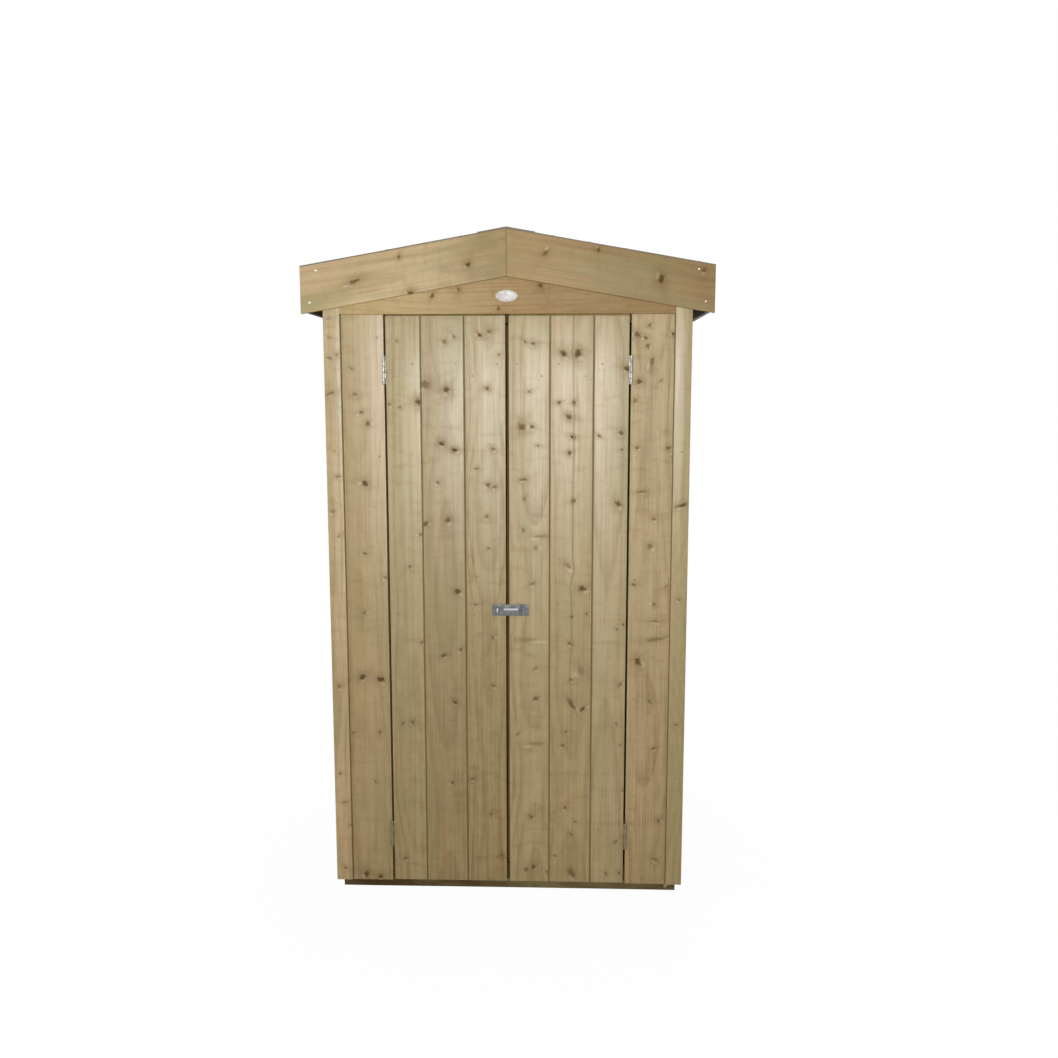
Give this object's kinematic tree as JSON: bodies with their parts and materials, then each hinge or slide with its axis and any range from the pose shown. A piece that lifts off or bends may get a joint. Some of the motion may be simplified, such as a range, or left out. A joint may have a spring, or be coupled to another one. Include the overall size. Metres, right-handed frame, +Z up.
{
  "type": "garden storage cabinet",
  "caption": "Tall apex-roof wooden garden store with felted roof, matchboard walls and double ledged doors on butt hinges, closed by a hasp and staple.",
  "frame": {"origin": "ground level under the middle of the cabinet", "axes": "+Z up, +X to the right seen from the front, front with the doors towards -Y"},
  "size_m": [1.08, 0.55, 1.82],
  "materials": {
    "cladding_wood": "sawn and planed, pressure treated",
    "trim_wood": "planed, pressure treated",
    "frame_wood": "sawn",
    "roofing_felt": "mineral felt",
    "zinc_steel": "zinc plated steel",
    "nail_steel": "galvanised",
    "plate_metal": "satin"
  },
  "bodies": {
    "cabinet": {"floor_boards": "frame_wood", "frame_fixings": "nail_steel", "front_bearer": "frame_wood", "front_bottom_rail": "frame_wood", "front_gable_board": "trim_wood", "front_header_board": "frame_wood", "front_top_rail": "frame_wood", "hinge_pins": "zinc_steel", "left_eave_fascia": "trim_wood", "left_front_bargeboard": "trim_wood", "left_front_boards": "cladding_wood", "left_front_corner_strips": "trim_wood", "left_front_posts": "frame_wood", "left_hinge_frame_leaves": "zinc_steel", "left_rear_bargeboard": "trim_wood", "left_rear_corner_strips": "trim_wood", "left_rear_posts": "frame_wood", "left_roof_boards": "frame_wood", "left_wall_boards": "cladding_wood", "left_wall_rails": "frame_wood", "middle_bearer": "frame_wood", "oval_plate": "plate_metal", "rear_bearer": "frame_wood", "rear_gable_board": "trim_wood", "rear_wall_boards": "cladding_wood", "rear_wall_rails": "frame_wood", "ridge_beam": "frame_wood", "ridge_cap": "roofing_felt", "right_eave_fascia": "trim_wood", "right_front_bargeboard": "trim_wood", "right_front_boards": "cladding_wood", "right_front_corner_strips": "trim_wood", "right_front_posts": "frame_wood", "right_hinge_frame_leaves": "zinc_steel", "right_rear_bargeboard": "trim_wood", "right_rear_corner_strips": "trim_wood", "right_rear_posts": "frame_wood", "right_roof_boards": "frame_wood", "right_wall_boards": "cladding_wood", "right_wall_rails": "frame_wood", "roof_felt": "roofing_felt"},
    "right_door": {"hasp_leaf": "zinc_steel", "hasp_pin": "zinc_steel", "meeting_strip": "trim_wood", "right_door_fixings": "nail_steel", "right_door_hinge_board": "cladding_wood", "right_door_inner_board": "cladding_wood", "right_door_ledges": "frame_wood", "right_door_middle_board": "cladding_wood", "right_hinge_door_leaves": "zinc_steel"},
    "left_door": {"left_door_fixings": "nail_steel", "left_door_hinge_board": "cladding_wood", "left_door_inner_board": "cladding_wood", "left_door_ledges": "frame_wood", "left_door_middle_board": "cladding_wood", "left_hinge_door_leaves": "zinc_steel", "staple": "zinc_steel"},
    "hasp": {"hasp_strap": "zinc_steel"}
  },
  "joints": [
    {"name": "right_door_swing", "type": "hinge", "parent": "cabinet", "child": "right_door", "pos_m": [0.3275, -0.2555, 0.8], "axis": [0, 0, 1], "range_deg": [0, 120]},
    {"name": "left_door_swing", "type": "hinge", "parent": "cabinet", "child": "left_door", "pos_m": [-0.3275, -0.2555, 0.8], "axis": [0, 0, 1], "range_deg": [-90, 0]},
    {"name": "hasp_swing", "type": "hinge", "parent": "right_door", "child": "hasp", "pos_m": [0.036, -0.2545, 0.808], "axis": [0, 0, 1], "range_deg": [0, 170]}
  ],
  "couplings": [
    {"joint": "left_door_swing", "follows": "right_door_swing", "ratio": -0.75}
  ]
}
